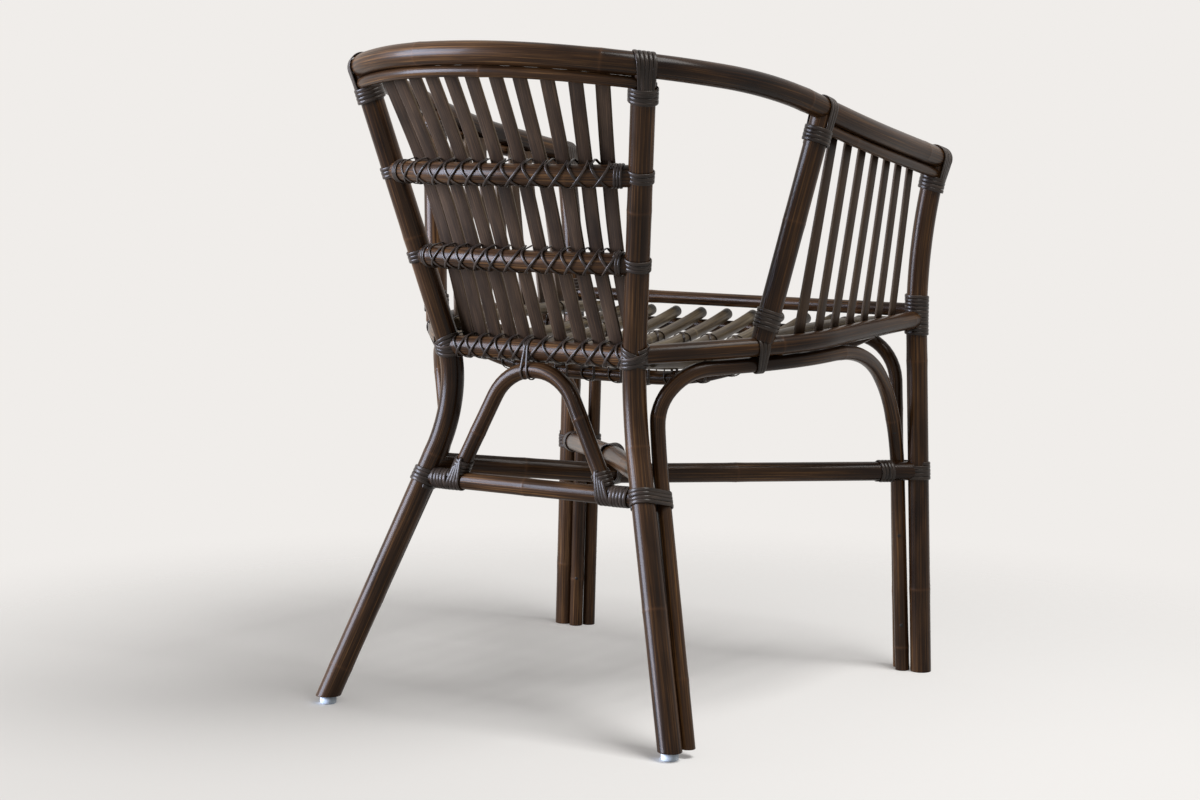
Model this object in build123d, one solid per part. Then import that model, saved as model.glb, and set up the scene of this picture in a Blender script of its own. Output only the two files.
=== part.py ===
from build123d import *
import math
import os

# Lamu chair: a tub armchair of bent rattan poles, nailed and lashed at every joint.
# Millimetres, +Z up, floor at Z = 0. The chair faces -Y and its left side, the sitter's left, is +X.
# Routes are the centre lines of poles. Left pieces are modelled and the right ones mirror them.

# Pole diameters
top_rail_d = 28
rear_leg_d = 29
front_leg_d = 27.5
arm_post_d = 28
under_rail_d = 14
cross_rail_d = 26
seat_rail_d = 26
side_rail_d = 23
front_rail_d = 18
support_d = 18
seat_pole_d = 16
side_arch_d = 19
front_arch_d = 18
rear_arch_d = 20
stretcher_d = 22
brace_d = 22

# Belts of lashing strand
strand_t = 2.4
belt_sides = 16
belt_fit = 0.5  # clearance inside a belt
saddle_w = 24
narrow_saddle_w = 14
end_saddle_w = 22
end_saddle_gap = 3
collar_w = 20
collar_drop = 31
narrow_collar_w = 14
lower_wrap_w, upper_wrap_w = 6.5, 13
seat_collar_w = 34
front_collar_w = 56
foot_collar_w = 24
foot_collar_rise = 26
strap_w = 14
stretcher_wrap_w = 20
arch_wrap_w = 18
bundle_w = 22
brace_wrap_w = 20
brace_wrap_gap = 37  # from a front leg's centre line to the wrap on the brace that meets it
stretcher_wrap_gap = 24  # from a rear leg's centre line to the wrap on the stretcher
cross_wrap_w = 8
cross_wrap_grow = 3  # extra radius that takes the wrap round the corners of the crossing
tie_w, tie_x = 5, 10.25

# Slats and glides
back_slat_w = 14.5
arm_slat_w = 11.5
slat_t = 4
glide_d = 20
glide_h = 10
fit = 0.3  # clearance between pieces that seat on each other
saddle = 5  # a post stops this far short of the centre line of the rail it is coped to
foot_spare = 15  # length left below a foot for its level cut

# Top rail: one hoop round the back and both arms, falling towards the front
back_x, back_y, back_z = 75, 352, 780
corner_x, corner_y, corner_z = 214, 279, 766
shoulder_x, shoulder_y, shoulder_z = 269, 120, 748
elbow_x, elbow_y, elbow_z = 291, -60, 699
arm_end_x, arm_end_y, arm_end_z = 283, -302, 658
under_rail_slack = 0.2  # extra clearance that lets the under-rails follow the hoop's bends

# Rear legs: splayed below the seat, bent under it, and leaning out to the top rail
rear_foot_x, rear_foot_y = 245.5, 291
knee_x, knee_y, knee_z = 134, 189.5, 340.5
waist_x, waist_y, waist_z = 127, 185.5, 414
rear_top_x = 195

# Front legs: upright, bent outwards below the arm
front_foot_x, front_foot_y = 276, -284
front_bend_x, front_bend_y, front_bend_z = 259, -278, 548
front_top_y = -286

# Arm posts
arm_post_foot_y = 77.5
arm_post_top_y = 20

# Back rails between the rear legs
seat_rail_z = 436.5
lower_rail_z = 545
upper_rail_z = 645
lower_rail_bow = 27
upper_rail_bow = 48
bow_shoulder = 0.4  # where a bowed rail bends, as a share of its half length

# Side and front seat rails
side_rail_rear_z = 438
side_rail_front_z = 456
hip_x, hip_y, hip_z = 190, 138, 443
widest_x, widest_y, widest_z = 268, 30, 448
flank_x, flank_y, flank_z = 267, -120, 453
front_rail_z = 467.5

# Seat poles and the two dished supports that carry them
seat_pole_count = 12
seat_pole_side_gap = 22.5  # from the outer seat poles to the front legs
seat_pole_rear_z = 431
seat_pole_end_gap = 1  # from the rear ends of the seat poles to the slats
post_room = 11  # from an arm post to the rear end of the outer seat pole
rear_support_y, rear_support_z = 48, 397
front_support_y, front_support_z = -168, 401
support_shoulder = 0.65  # where a support bends upwards, as a share of its half length

# Slat fans
back_slat_count = 11
back_slat_top_pitch = 29.5
back_slat_foot_pitch = 20.5
back_slat_rise, back_slat_drop = 3, 7
arm_slat_count = 7
arm_slat_top_y, arm_slat_top_pitch = -15, 34.3
arm_slat_foot_y, arm_slat_foot_pitch = 17.5, 41.3
arm_slat_rise, arm_slat_drop = 4, 5

# Side arches: up beside the rear leg, along under the side rail, down beside the front leg
side_arch_rear_dx, side_arch_rear_dy = 9, -23
side_arch_knee_x, side_arch_knee_y, side_arch_knee_z = 151, 167, 317
side_arch_rise_x, side_arch_rise_y, side_arch_rise_z = 152, 175, 382
side_arch_hip_y, side_arch_flank_y = 147, -131
side_arch_fall_x, side_arch_fall_y, side_arch_fall_z = 240, -270.5, 337
side_arch_front_dx, side_arch_front_dy = -22.8, 7

# Front arch, rear stretcher with its arch, and crossing braces
front_arch_dx, front_arch_dy = -34.2, -8.2
front_arch_bend = 60
front_arch_slack = 1.2  # the poles fall a little behind the front rail, so the arch sits lower
stretcher_z = 276
rear_arch_foot_x = 102
rear_arch_knee_x, rear_arch_knee_y, rear_arch_knee_z = 81, 205, 343
rear_arch_top_x, rear_arch_top_y, rear_arch_top_z = 38, 200.5, 414
brace_cross_y, brace_cross_z = 30, 283.5
brace_bend = 600
brace_slack = 1  # extra lift that makes up for the rounding of the braces' bends
left_brace_rear_z, left_brace_front_z = 294, 261
right_brace_rear_z, right_brace_front_z = 303, 260


def flip(points):
    return [(-x, y, z) for x, y, z in points]


def beyond(start, end, extra):
    """The point past the end of a run; a negative extra stops short of it."""
    start = Vector(*start)
    end = Vector(*end)
    return tuple(end + (end - start).normalized() * extra)


def bend_radii(points):
    """The largest bend at each corner of a route; two bends share the run between them."""
    spots = [Vector(*point) for point in points]
    last = len(spots) - 1
    radii = []
    for i in range(1, last):
        run_in = spots[i] - spots[i - 1]
        run_out = spots[i + 1] - spots[i]
        reach_in = run_in.length * (0.96 if i == 1 else 0.48)
        reach_out = run_out.length * (0.96 if i == last - 1 else 0.48)
        half_turn = math.radians(run_in.get_angle(run_out)) / 2
        radii.append(min(reach_in, reach_out) / math.tan(half_turn))
    return radii


def route(*points):
    return FilletPolyline(*points, radius=bend_radii(points))


def tube(path, diameter):
    return sweep(Plane(origin=path @ 0, z_dir=path % 0) * Circle(diameter / 2), path=path)


def bore(path, diameter):
    return tube(path, diameter + 2 * fit)


def seated(piece, *bores):
    """A pole with its ends coped to its neighbours."""
    for hole in bores:
        piece = piece - hole
        piece = piece.solids().sort_by(SortBy.VOLUME)[-1]
    return piece


def where(path, axis, value, start=0.0, end=1.0):
    """The place on a path, 0 to 1, where a coordinate reaches a value."""
    rising = getattr(path @ end, axis) > getattr(path @ start, axis)
    for _ in range(40):
        middle = (start + end) / 2
        if (getattr(path @ middle, axis) < value) == rising:
            start = middle
        else:
            end = middle
    return (start + end) / 2


def along(path, place, distance):
    """A place further along a path, by a distance in millimetres."""
    return place + distance / path.length


def at_height(path, z):
    return tuple(path @ where(path, "Z", z))


def below(points, drop):
    """A route moved down square to its own slope, for a pole that lies under another."""
    spots = [Vector(*point) for point in points]
    moved = []
    for i, spot in enumerate(spots):
        run = (spots[min(i + 1, len(spots) - 1)] - spots[max(i - 1, 0)]).normalized()
        down = (run * run.Z - Vector(0, 0, 1)).normalized()
        moved.append(tuple(spot + down * drop))
    return moved


def footed(piece, level):
    return split(piece, bisect_by=Plane.XY.offset(level), keep=Keep.TOP)


# Centre lines
hoop_half = [
    (arm_end_x, arm_end_y, arm_end_z),
    (elbow_x, elbow_y, elbow_z),
    (shoulder_x, shoulder_y, shoulder_z),
    (corner_x, corner_y, corner_z),
    (back_x, back_y, back_z),
]
hoop_points = flip(hoop_half) + hoop_half[::-1]
hoop = route(*hoop_points)
rear_leg_place = where(hoop, "X", rear_top_x, 0.5, 0.7)
arm_post_place = where(hoop, "Y", arm_post_top_y, 0.5, 1)
front_leg_place = where(hoop, "Y", front_top_y, 0.5, 1)

under_rail_drop = (top_rail_d + under_rail_d) / 2 + fit + under_rail_slack
under_hoop = route(*below(hoop_points, under_rail_drop))
back_under_path = under_hoop.trim(1 - rear_leg_place, rear_leg_place)
arm_under_path = under_hoop.trim(arm_post_place, front_leg_place)

rear_foot = (rear_foot_x, rear_foot_y, 0)
knee = (knee_x, knee_y, knee_z)
waist = (waist_x, waist_y, waist_z)
rear_leg_path = route(
    beyond(knee, rear_foot, foot_spare),
    knee,
    waist,
    beyond(waist, hoop @ rear_leg_place, -saddle),
)

front_foot = (front_foot_x, front_foot_y, 0)
front_bend = (front_bend_x, front_bend_y, front_bend_z)
front_leg_path = route(
    beyond(front_bend, front_foot, foot_spare),
    front_bend,
    beyond(front_bend, hoop @ front_leg_place, -saddle),
)

side_rail_path = route(
    at_height(rear_leg_path, side_rail_rear_z),
    (hip_x, hip_y, hip_z),
    (widest_x, widest_y, widest_z),
    (flank_x, flank_y, flank_z),
    at_height(front_leg_path, side_rail_front_z),
)
arm_post_foot_place = where(side_rail_path, "Y", arm_post_foot_y)
arm_post_foot = side_rail_path @ arm_post_foot_place
arm_post_top = hoop @ arm_post_place
arm_post_path = Line(
    beyond(arm_post_top, arm_post_foot, -saddle),
    beyond(arm_post_foot, arm_post_top, -saddle),
)


def cross_path(z, bow):
    end_x, end_y, end_z = at_height(rear_leg_path, z)
    left = [(end_x * bow_shoulder, end_y + bow, end_z), (end_x, end_y, end_z)]
    return route(*flip(left[::-1]), *left)


def level_path(leg_path, z):
    left = at_height(leg_path, z)
    return Line(*flip([left]), left)


lower_rail_path = cross_path(lower_rail_z, lower_rail_bow)
upper_rail_path = cross_path(upper_rail_z, upper_rail_bow)
seat_rail_path = level_path(rear_leg_path, seat_rail_z)
front_rail_path = level_path(front_leg_path, front_rail_z)
stretcher_path = level_path(rear_leg_path, stretcher_z)


def support_path(y, z):
    end = side_rail_path @ where(side_rail_path, "Y", y)
    left = [(end.X * support_shoulder, y, z), tuple(end)]
    return route(*flip(left[::-1]), *left)


rear_support_path = support_path(rear_support_y, rear_support_z)
front_support_path = support_path(front_support_y, front_support_z)


def under_side_rail(y):
    spot = side_rail_path @ where(side_rail_path, "Y", y)
    return tuple(spot - Vector(0, 0, (side_rail_d + side_arch_d) / 2 + fit))


side_arch_knee = (side_arch_knee_x, side_arch_knee_y, side_arch_knee_z)
side_arch_fall = (side_arch_fall_x, side_arch_fall_y, side_arch_fall_z)
side_arch_rear_foot = (rear_foot_x + side_arch_rear_dx, rear_foot_y + side_arch_rear_dy, 0)
side_arch_front_foot = (front_foot_x + side_arch_front_dx, front_foot_y + side_arch_front_dy, 0)
side_arch_path = route(
    beyond(side_arch_knee, side_arch_rear_foot, foot_spare),
    side_arch_knee,
    (side_arch_rise_x, side_arch_rise_y, side_arch_rise_z),
    under_side_rail(side_arch_hip_y),
    under_side_rail(widest_y),
    under_side_rail(side_arch_flank_y),
    side_arch_fall,
    beyond(side_arch_fall, side_arch_front_foot, foot_spare),
)

pole_front_z = front_rail_z - (front_rail_d + seat_pole_d) / 2 - 3 * fit
front_arch_z = pole_front_z - (seat_pole_d + front_arch_d) / 2 - fit - front_arch_slack
front_leg_at_arch = at_height(front_leg_path, front_arch_z)
front_arch_top = (front_leg_at_arch[0] + front_arch_dx, front_leg_at_arch[1] + front_arch_dy, front_arch_z)
front_arch_foot = (front_foot_x + front_arch_dx, front_foot_y + front_arch_dy, 0)
front_arch_half = [front_arch_top, beyond(front_arch_top, front_arch_foot, foot_spare)]
front_arch_path = FilletPolyline(*flip(front_arch_half[::-1]), *front_arch_half, radius=front_arch_bend)

rear_arch_half = [
    (rear_arch_top_x, rear_arch_top_y, rear_arch_top_z),
    (rear_arch_knee_x, rear_arch_knee_y, rear_arch_knee_z),
    (rear_arch_foot_x, (stretcher_path @ 0).Y, stretcher_z),
]
rear_arch_path = route(*flip(rear_arch_half[::-1]), *rear_arch_half)


def brace_path(rear_z, front_z, lift):
    """A brace from the left rear leg to the right front leg, passing over or under the other."""
    middle = (0, brace_cross_y, brace_cross_z + lift)
    ends = at_height(rear_leg_path, rear_z), *flip([at_height(front_leg_path, front_z)])
    return FilletPolyline(ends[0], middle, ends[1], radius=brace_bend)


brace_step = (brace_d + fit + brace_slack) / 2
left_brace_path = brace_path(left_brace_rear_z, left_brace_front_z, -brace_step)
right_brace_path = brace_path(right_brace_rear_z, right_brace_front_z, brace_step)


# Bores that neighbours are coped to
hoop_bore = bore(hoop, top_rail_d)
rear_leg_bore = bore(rear_leg_path, rear_leg_d)
front_leg_bore = bore(front_leg_path, front_leg_d)
arm_post_bore = bore(arm_post_path, arm_post_d)
arm_post_reach = Line(arm_post_top, beyond(arm_post_top, arm_post_foot, side_rail_d))
arm_post_room = bore(arm_post_reach, arm_post_d + 2 * post_room)
rear_collar_bore = bore(rear_leg_path, rear_leg_d + 2 * (strand_t + belt_fit + 2 * fit))
side_rail_bore = bore(side_rail_path, side_rail_d)
side_arch_bore = bore(side_arch_path, side_arch_d)
under_bore = bore(under_hoop, under_rail_d)
front_arch_bore = bore(front_arch_path, front_arch_d)
stretcher_bore = bore(stretcher_path, stretcher_d)
brace_bores = [bore(left_brace_path, brace_d), bore(right_brace_path, brace_d)]


def mirrored(piece):
    return mirror(piece, about=Plane.YZ)


def rear_leg():
    return footed(seated(tube(rear_leg_path, rear_leg_d), hoop_bore), glide_h)


def front_leg():
    return footed(seated(tube(front_leg_path, front_leg_d), hoop_bore), 0)


def arm_post():
    """The post's foot is coped to the short run of the side rail that it stands on."""
    start = along(side_rail_path, arm_post_foot_place, -arm_post_d)
    end = along(side_rail_path, arm_post_foot_place, arm_post_d)
    foot_bore = bore(side_rail_path.trim(start, end), side_rail_d)
    return seated(tube(arm_post_path, arm_post_d), hoop_bore, foot_bore)


def back_under_rail():
    return seated(tube(back_under_path, under_rail_d), rear_leg_bore, mirrored(rear_leg_bore))


def arm_under_rail():
    return seated(tube(arm_under_path, under_rail_d), arm_post_bore, front_leg_bore)


def rear_cross_piece(path, diameter):
    return seated(tube(path, diameter), rear_leg_bore, mirrored(rear_leg_bore))


def side_rail():
    return seated(tube(side_rail_path, side_rail_d), rear_leg_bore, front_leg_bore)


def front_rail():
    return seated(tube(front_rail_path, front_rail_d), front_leg_bore, mirrored(front_leg_bore))


def seat_support(path):
    left = [side_rail_bore, side_arch_bore]
    return seated(tube(path, support_d), *left, *[mirrored(hole) for hole in left])


def side_arch():
    arch = footed(tube(side_arch_path, side_arch_d), 0)
    rear_waste = Pos(rear_foot_x, rear_foot_y, 0) * Box(200, 200, 2 * glide_h)
    return seated(arch, rear_waste)


def front_arch():
    return footed(tube(front_arch_path, front_arch_d), 0)


def rear_arch():
    return seated(tube(rear_arch_path, rear_arch_d), stretcher_bore)


def brace(path):
    return seated(
        tube(path, brace_d),
        rear_leg_bore,
        mirrored(front_leg_bore),
        side_arch_bore,
        mirrored(side_arch_bore),
    )


def glide():
    spot = rear_leg_path @ where(rear_leg_path, "Z", glide_h)
    return Pos(spot.X, spot.Y, 0) * extrude(Circle(glide_d / 2), glide_h)


outer_pole_x = (front_rail_path @ 1).X - front_leg_d / 2 - seat_pole_side_gap - seat_pole_d / 2
seat_pole_pitch = 2 * outer_pole_x / (seat_pole_count - 1)


def seat_pole(x):
    """A pole from under the front rail, over the rear support, to the slats or the side rail."""
    half = rear_support_path @ 1
    support_place = where(rear_support_path, "X", x, 0, 1) if abs(x) < half.X else 1
    rest = rear_support_path @ support_place
    slope = rear_support_path % support_place
    lift = ((support_d + seat_pole_d) / 2 + fit) / math.hypot(slope.X, slope.Y)
    slat_face = (seat_rail_path @ 0).Y - seat_rail_d / 2 - slat_t - fit - seat_pole_end_gap
    front = (x, (front_rail_path @ 0).Y - front_rail_d / 2, pole_front_z)
    rear = (x, slat_face, seat_pole_rear_z)
    if abs(x) > waist_x:
        side_spot = side_rail_path @ where(side_rail_path, "X", abs(x), 0, 0.4)
        if side_spot.Y < slat_face:
            rear = (x, side_spot.Y, side_spot.Z)
    pole = tube(ThreePointArc(front, tuple(rest + Vector(0, 0, lift)), rear), seat_pole_d)
    if abs(x) < waist_x - seat_pole_pitch / 2:
        return pole
    holes = [side_rail_bore, rear_collar_bore, arm_post_room]
    return seated(pole, *[hole if x > 0 else mirrored(hole) for hole in holes])


def slat(rests, width, drop, rise, seat_side):
    """A flat slat lofted through its rests, twisting so that it lies flat on every rail."""
    spots = [path @ place for path, place, diameter in rests]
    last = len(spots) - 1
    sections = []
    for i, (path, place, diameter) in enumerate(rests):
        run = (spots[min(i + 1, last)] - spots[max(i - 1, 0)]).normalized()
        face = run.cross(path % place).normalized()
        if face.dot(seat_side) < 0:
            face = face * -1
        origin = spots[i] + face * ((diameter + slat_t) / 2 + fit)
        if i == 0:
            origin = origin - run * drop
        if i == last:
            origin = origin + run * rise
        section = Plane(origin=origin, x_dir=face.cross(run), z_dir=run)
        sections.append(section * Rectangle(width, slat_t))
    return loft(sections, ruled=True)


def back_slat(number):
    """A back slat, counted from the middle: lofted from the straight seat rail to the bowed rails."""
    levels = [
        (seat_rail_path, seat_rail_d),
        (lower_rail_path, cross_rail_d),
        (upper_rail_path, cross_rail_d),
        (back_under_path, under_rail_d),
    ]
    foot_z = seat_rail_z
    top_z = (back_under_path @ 0.5).Z
    rests = []
    for path, diameter in levels:
        share = ((path @ 0.5).Z - foot_z) / (top_z - foot_z)
        pitch = back_slat_foot_pitch + (back_slat_top_pitch - back_slat_foot_pitch) * share
        rests.append((path, where(path, "X", number * pitch), diameter))
    return slat(rests, back_slat_w, back_slat_drop, back_slat_rise, Vector(0, -1, 0))


def arm_slat(number):
    foot = where(side_rail_path, "Y", arm_slat_foot_y - number * arm_slat_foot_pitch)
    top = where(arm_under_path, "Y", arm_slat_top_y - number * arm_slat_top_pitch)
    rests = [(side_rail_path, foot, side_rail_d), (arm_under_path, top, under_rail_d)]
    return slat(rests, arm_slat_w, arm_slat_drop, arm_slat_rise, Vector(-1, 0, 0))


def belt(width, *wrapped, cut=()):
    """A belt of strand round one or more poles, centred on the first and clear of what crosses it."""
    plane = Plane(origin=wrapped[0][0] @ wrapped[0][1], z_dir=wrapped[0][0] % wrapped[0][1])
    bands = []
    for grow in (belt_fit + strand_t, belt_fit):
        rings = []
        for path, place, diameter in wrapped:
            spot = plane.to_local_coords(path @ place)
            ring = RegularPolygon(diameter / 2 + grow, belt_sides, major_radius=False)
            rings.extend((Pos(spot.X, spot.Y) * ring).edges())
        bands.append(make_hull(rings))
    band = extrude(plane * (bands[0] - bands[1]), width / 2, both=True)
    return seated(band, *cut)


wrap_start = rear_leg_d / 2 + strand_t + 3 * fit


def both_sides(pieces_left):
    return Compound(children=pieces_left + [mirrored(piece) for piece in pieces_left])


def top_rail_lashings():
    end_place = 1 - (end_saddle_w / 2 + end_saddle_gap) / hoop.length
    saddles = [
        (saddle_w, rear_leg_place, rear_leg_bore),
        (narrow_saddle_w, arm_post_place, arm_post_bore),
        (end_saddle_w, end_place, front_leg_bore),
    ]
    collars = [
        (rear_leg_path, rear_leg_place, rear_leg_d, rear_leg_bore),
        (arm_post_path, arm_post_place, arm_post_d, arm_post_bore),
        (front_leg_path, front_leg_place, front_leg_d, front_leg_bore),
    ]
    belts = []
    for width, place, post_bore in saddles:
        belts.append(belt(width, (hoop, place, top_rail_d), cut=[hoop_bore, under_bore, post_bore]))
    for path, rail_place, diameter, post_bore in collars:
        place = where(path, "Z", (hoop @ rail_place).Z - collar_drop)
        belts.append(belt(collar_w, (path, place, diameter), cut=[post_bore, under_bore, hoop_bore]))
    return both_sides(belts)


def cross_rail_lashings():
    belts = []
    for path, wrap_w in [(lower_rail_path, lower_wrap_w), (upper_rail_path, upper_wrap_w)]:
        place = where(rear_leg_path, "Z", (path @ 1).Z)
        collar = belt(narrow_collar_w, (rear_leg_path, place, rear_leg_d), cut=[bore(path, cross_rail_d)])
        wrap_place = along(path, 1, -wrap_start - wrap_w / 2)
        belts.extend([collar, belt(wrap_w, (path, wrap_place, cross_rail_d))])
    return both_sides(belts)


def seat_rail_lashings():
    rear_place = where(rear_leg_path, "Z", seat_rail_z)
    rear_cut = [rear_leg_bore, bore(seat_rail_path, seat_rail_d), side_rail_bore, side_arch_bore]
    front_place = where(front_leg_path, "Z", (front_rail_z + side_rail_front_z) / 2)
    front_cut = [front_leg_bore, bore(front_rail_path, front_rail_d), side_rail_bore]
    return both_sides([
        belt(seat_collar_w, (rear_leg_path, rear_place, rear_leg_d), cut=rear_cut),
        belt(front_collar_w, (front_leg_path, front_place, front_leg_d), cut=front_cut),
    ])


def arm_post_lashings():
    foot_place = along(arm_post_path, 0, foot_collar_rise)
    foot = belt(foot_collar_w, (arm_post_path, foot_place, arm_post_d), cut=[side_rail_bore])
    rail = (side_rail_path, arm_post_foot_place, side_rail_d)
    arch = (side_arch_path, where(side_arch_path, "Y", arm_post_foot_y, 0.3, 0.6), side_arch_d)
    strap_cut = [side_rail_bore, side_arch_bore, bore(arm_post_path, arm_post_d + 2 * strand_t)]
    return both_sides([foot, belt(strap_w, rail, arch, cut=strap_cut)])


def stretcher_lashings():
    leg = (rear_leg_path, where(rear_leg_path, "Z", stretcher_z), rear_leg_d)
    arch = (side_arch_path, where(side_arch_path, "Z", stretcher_z, 0, 0.3), side_arch_d)
    bundle_cut = [rear_leg_bore, side_arch_bore, stretcher_bore, *brace_bores]
    end_place = along(stretcher_path, 1, -stretcher_wrap_gap - stretcher_wrap_w / 2)
    foot_place = along(rear_arch_path, 1, -stretcher_d / 2 - 2 * fit - arch_wrap_w / 2)
    return both_sides([
        belt(collar_w, leg, arch, cut=bundle_cut),
        belt(stretcher_wrap_w, (stretcher_path, end_place, stretcher_d), cut=brace_bores),
        belt(arch_wrap_w, (rear_arch_path, foot_place, rear_arch_d), cut=[stretcher_bore]),
    ])


def brace_lashings():
    """Belts round the three poles at each front leg, on the brace ends and round the crossing."""
    end_z = left_brace_front_z
    leg = (front_leg_path, where(front_leg_path, "Z", end_z), front_leg_d)
    arch = (side_arch_path, where(side_arch_path, "Z", end_z, 0.7, 1), side_arch_d)
    front = (front_arch_path, where(front_arch_path, "Z", end_z, 0.7, 1), front_arch_d)
    bundle_cut = [front_leg_bore, side_arch_bore, front_arch_bore, *[mirrored(hole) for hole in brace_bores]]
    bundle = belt(bundle_w, leg, arch, front, cut=bundle_cut)
    ends = []
    for path in (left_brace_path, right_brace_path):
        place = along(path, 1, -brace_wrap_gap - brace_wrap_w / 2)
        ends.append(belt(brace_wrap_w, (path, place, brace_d)))
    lower = left_brace_path @ where(left_brace_path, "Y", brace_cross_y)
    upper = right_brace_path @ where(right_brace_path, "Y", brace_cross_y)
    wrapped_d = brace_d + 2 * cross_wrap_grow
    poles = [(Line(spot, spot + Vector(0, 1, 0)), 0, wrapped_d) for spot in (lower, upper)]
    crossing = belt(cross_wrap_w, *poles, cut=[brace_bores[0], mirrored(brace_bores[1])])
    return Compound(children=[bundle, mirrored(bundle), ends[0], mirrored(ends[1]), crossing])


def rear_arch_lashing():
    rail = (seat_rail_path, where(seat_rail_path, "X", tie_x), seat_rail_d)
    arch = (rear_arch_path, where(rear_arch_path, "X", tie_x), rear_arch_d)
    return belt(tie_w, rail, arch, cut=[bore(rear_arch_path, rear_arch_d)])


pieces = {
    "top_rail": tube(hoop, top_rail_d),
    "back_under_rail": back_under_rail(),
    "upper_cross_rail": rear_cross_piece(upper_rail_path, cross_rail_d),
    "lower_cross_rail": rear_cross_piece(lower_rail_path, cross_rail_d),
    "back_seat_rail": rear_cross_piece(seat_rail_path, seat_rail_d),
    "rear_stretcher": rear_cross_piece(stretcher_path, stretcher_d),
    "rear_arch": rear_arch(),
    "front_seat_rail": front_rail(),
    "front_arch": front_arch(),
    "front_seat_support": seat_support(front_support_path),
    "rear_seat_support": seat_support(rear_support_path),
    "brace_lower": brace(left_brace_path),
    "brace_upper": mirrored(brace(right_brace_path)),
}

left_pieces = {
    "rear_leg": rear_leg(),
    "front_leg": front_leg(),
    "arm_post": arm_post(),
    "arm_under_rail": arm_under_rail(),
    "side_seat_rail": side_rail(),
    "side_arch": side_arch(),
    "glide": glide(),
    "arm_slats": Compound(children=[arm_slat(i) for i in range(arm_slat_count)]),
}
for name, piece in left_pieces.items():
    pieces[name + "_left"] = piece
    pieces[name + "_right"] = mirrored(piece)

for i in range(seat_pole_count):
    pieces[f"seat_pole_{i + 1}"] = seat_pole((i - (seat_pole_count - 1) / 2) * seat_pole_pitch)
for i in range(back_slat_count):
    pieces[f"back_slat_{i + 1}"] = back_slat(i - (back_slat_count - 1) / 2)

pieces["top_rail_lashings"] = top_rail_lashings()
pieces["cross_rail_lashings"] = cross_rail_lashings()
pieces["seat_rail_lashings"] = seat_rail_lashings()
pieces["arm_post_lashings"] = arm_post_lashings()
pieces["stretcher_lashings"] = stretcher_lashings()
pieces["brace_lashings"] = brace_lashings()
pieces["rear_arch_lashing"] = rear_arch_lashing()

# The finished chair stands with the middle of its outline over the origin
box = Compound(children=[Compound(piece.solids()) for piece in pieces.values()]).bounding_box()
os.makedirs("parts", exist_ok=True)
for name, piece in pieces.items():
    placed = Pos(0, -box.center().Y, 0) * Compound(piece.solids())
    export_step(placed, os.path.join("parts", name + ".step"))
    print(name, len(piece.solids()), round(sum(solid.volume for solid in piece.solids())))
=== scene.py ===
import bmesh
import bpy
import math
import random
from bisect import bisect_right
from mathutils import Matrix, Vector


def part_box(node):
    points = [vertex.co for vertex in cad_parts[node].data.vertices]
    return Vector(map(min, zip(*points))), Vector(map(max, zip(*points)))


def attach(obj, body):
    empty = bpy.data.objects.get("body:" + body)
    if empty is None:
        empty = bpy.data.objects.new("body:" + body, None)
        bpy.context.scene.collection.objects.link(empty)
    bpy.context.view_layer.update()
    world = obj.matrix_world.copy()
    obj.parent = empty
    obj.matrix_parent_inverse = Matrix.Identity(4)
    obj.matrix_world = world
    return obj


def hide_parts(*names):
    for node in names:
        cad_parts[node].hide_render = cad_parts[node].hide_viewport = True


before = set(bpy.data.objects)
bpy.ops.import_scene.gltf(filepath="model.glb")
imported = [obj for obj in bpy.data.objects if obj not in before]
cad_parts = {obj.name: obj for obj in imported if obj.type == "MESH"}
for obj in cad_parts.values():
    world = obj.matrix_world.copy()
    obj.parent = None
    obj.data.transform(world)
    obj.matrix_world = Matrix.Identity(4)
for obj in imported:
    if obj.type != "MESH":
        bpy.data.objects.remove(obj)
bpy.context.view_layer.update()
print("frame loaded:", len(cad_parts), "nodes")

# Lengths are in millimetres, +Z up. The chair faces -Y and its left side, the sitter's left, is +X.
# A finished mesh is in metres, with the middle of the chair over the origin.
mm = 0.001
hoopBack = 366  # the back of the top rail, before the chair is moved over the origin
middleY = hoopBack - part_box("top_rail")[1].y * 1000
sideways, rearwards, upwards = Vector((1, 0, 0)), Vector((0, 1, 0)), Vector((0, 0, 1))


def toMetres(spot):
    return Vector((spot.x, spot.y - middleY, spot.z)) * mm


def hexColour(text):
    def linear(value):
        return value / 12.92 if value <= 0.04045 else ((value + 0.055) / 1.055) ** 2.4
    return [linear(int(text[i:i + 2], 16) / 255) for i in (0, 2, 4)] + [1]


# A route is the centre line of a pole. A corner is rounded to its bend radius, or where it has none
# as far as its share of the runs beside it allows.
bending = {
    "share": 0.48, "endShare": 0.96, "step": 3, "leastSteps": 3, "arcSteps": 60, "apart": 0.01,
    "lookAhead": 2, "halvings": 36,
}


def roundCorners(corners, bendRadius):
    spots = [corners[0]]
    last = len(corners) - 1
    for i in range(1, last):
        runIn = corners[i] - corners[i - 1]
        runOut = corners[i + 1] - corners[i]
        turn = runIn.angle(runOut)
        reachIn = runIn.length * bending["endShare" if i == 1 else "share"]
        reachOut = runOut.length * bending["endShare" if i == last - 1 else "share"]
        reach = bendRadius * math.tan(turn / 2) if bendRadius else min(reachIn, reachOut)
        start = corners[i] - runIn.normalized() * reach
        axis = runIn.cross(runOut).normalized()
        centre = start + axis.cross(runIn).normalized() * reach / math.tan(turn / 2)
        steps = max(bending["leastSteps"], math.ceil(reach / bending["step"]))
        for step in range(steps + 1):
            turned = Matrix.Rotation(turn * step / steps, 3, axis)
            spots.append(centre + turned @ (start - centre))
    return spots + [corners[-1]]


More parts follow.
